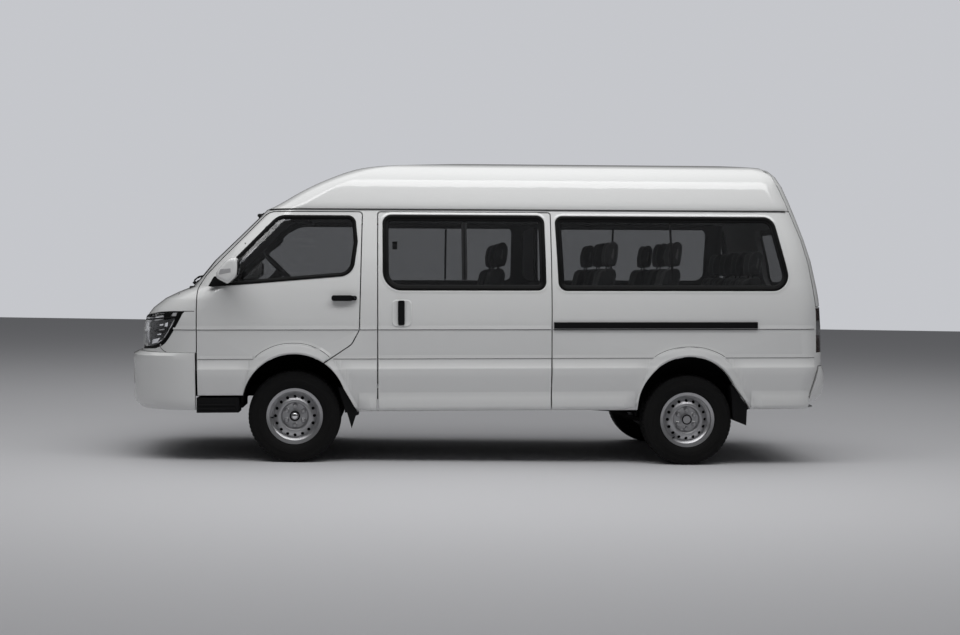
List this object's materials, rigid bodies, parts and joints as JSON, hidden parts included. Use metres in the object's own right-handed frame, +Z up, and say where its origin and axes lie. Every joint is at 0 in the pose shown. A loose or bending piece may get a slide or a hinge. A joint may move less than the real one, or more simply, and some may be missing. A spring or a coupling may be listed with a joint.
{
  "type": "high-roof minibus",
  "caption": "High-roof minibus with hollow cab and saloon, hinged front doors, bonnet and tailgate, steered front wheels and free-turning wheels.",
  "frame": {"origin": "on the floor under the middle of the overall length, in the middle plane", "axes": "+X to the rear, +Y to the vehicle's right, +Z up"},
  "size_m": [5.3188, 2.092, 2.2966],
  "materials": {
    "body_paint": "gloss white",
    "window_glass": "dark tint",
    "underbody_steel": "black underseal",
    "black_trim": "grained",
    "cabin_plastic": "grained",
    "seat_cloth": "woven",
    "lamp_lens": "clear",
    "tail_lamp_lens": "clear red",
    "tyre_rubber": "matte",
    "rim_paint": "silver"
  },
  "bodies": {
    "root": {"floor_pan": "underbody_steel", "wheel_arches": "underbody_steel", "front_body": "body_paint", "side_left": "body_paint", "side_right": "body_paint", "roof": "body_paint", "drip_rails": "black_trim", "grille": "black_trim", "bumper_front": "body_paint", "bumper_rear": "body_paint", "windscreen": "window_glass", "glass_rear_left": "window_glass", "glass_rear_right": "window_glass", "glass_mid_right": "window_glass", "headlamps": "lamp_lens", "tail_lamps": "tail_lamp_lens", "dashboard": "cabin_plastic", "seats_front": "seat_cloth", "seats_rear": "seat_cloth", "engine_block": "underbody_steel", "rear_axle": "underbody_steel", "leaf_springs": "underbody_steel", "front_suspension": "underbody_steel", "drive_shaft": "underbody_steel", "exhaust": "underbody_steel", "fuel_tank": "underbody_steel", "mudflaps": "black_trim", "steps": "black_trim", "slide_rail": "black_trim", "door_sliding": "body_paint", "glass_sliding": "window_glass"},
    "bonnet": {"bonnet": "body_paint"},
    "door_front_left": {"door_front_left": "body_paint", "glass_front_left": "window_glass", "mirror_left": "body_paint"},
    "door_front_right": {"door_front_right": "body_paint", "glass_front_right": "window_glass", "mirror_right": "body_paint"},
    "tailgate": {"tailgate": "body_paint", "glass_tailgate": "window_glass"},
    "steering_wheel": {"steering_wheel": "cabin_plastic"},
    "knuckle_left": {"knuckle_left": "underbody_steel"},
    "knuckle_right": {"knuckle_right": "underbody_steel"},
    "wheel_front_left": {"tyre_front_left": "tyre_rubber", "rim_front_left": "rim_paint"},
    "wheel_front_right": {"tyre_front_right": "tyre_rubber", "rim_front_right": "rim_paint"},
    "wheel_rear_left": {"tyre_rear_left": "tyre_rubber", "rim_rear_left": "rim_paint"},
    "wheel_rear_right": {"tyre_rear_right": "tyre_rubber", "rim_rear_right": "rim_paint"}
  },
  "joints": [
    {"name": "steer_left", "type": "hinge", "parent": "root", "child": "knuckle_left", "pos_m": [-1.393, -0.66, 0.34], "axis": [-0.0157, 0, 0.9999], "range_deg": [-32, 32]},
    {"name": "steer_right", "type": "hinge", "parent": "root", "child": "knuckle_right", "pos_m": [-1.393, 0.66, 0.34], "axis": [-0.0157, 0, 0.9999], "range_deg": [-32, 32]},
    {"name": "steering_wheel_turn", "type": "hinge", "parent": "root", "child": "steering_wheel", "pos_m": [-1.59184, 0.4, 1.41201], "axis": [0.6959, 0, 0.7181], "range_deg": [-540, 540]},
    {"name": "spin_front_left", "type": "hinge", "parent": "knuckle_left", "child": "wheel_front_left", "pos_m": [-1.393, -0.7025, 0.34], "axis": [0, 1, 0], "continuous": true},
    {"name": "spin_front_right", "type": "hinge", "parent": "knuckle_right", "child": "wheel_front_right", "pos_m": [-1.393, 0.7025, 0.34], "axis": [0, 1, 0], "continuous": true},
    {"name": "spin_rear_left", "type": "hinge", "parent": "root", "child": "wheel_rear_left", "pos_m": [1.533, -0.7025, 0.34], "axis": [0, 1, 0], "continuous": true},
    {"name": "spin_rear_right", "type": "hinge", "parent": "root", "child": "wheel_rear_right", "pos_m": [1.533, 0.7025, 0.34], "axis": [0, 1, 0], "continuous": true},
    {"name": "door_left_swing", "type": "hinge", "parent": "root", "child": "door_front_left", "pos_m": [-2.0987, -0.8475, 0.889], "axis": [0.0157, 0, -0.9999], "range_deg": [0, 68]},
    {"name": "door_right_swing", "type": "hinge", "parent": "root", "child": "door_front_right", "pos_m": [-2.0987, 0.8475, 0.889], "axis": [-0.0157, 0, 0.9999], "range_deg": [0, 68]},
    {"name": "bonnet_lift", "type": "hinge", "parent": "root", "child": "bonnet", "pos_m": [-2.26348, 0, 1.25646], "axis": [0, 1, 0], "range_deg": [0, 55]},
    {"name": "tailgate_lift", "type": "hinge", "parent": "root", "child": "tailgate", "pos_m": [2.1775, 0, 2.24923], "axis": [0, -1, 0], "range_deg": [0, 85]}
  ],
  "couplings": [
    {"joint": "steer_right", "follows": "steer_left", "ratio": 1},
    {"joint": "steering_wheel_turn", "follows": "steer_left", "ratio": 16.875}
  ]
}
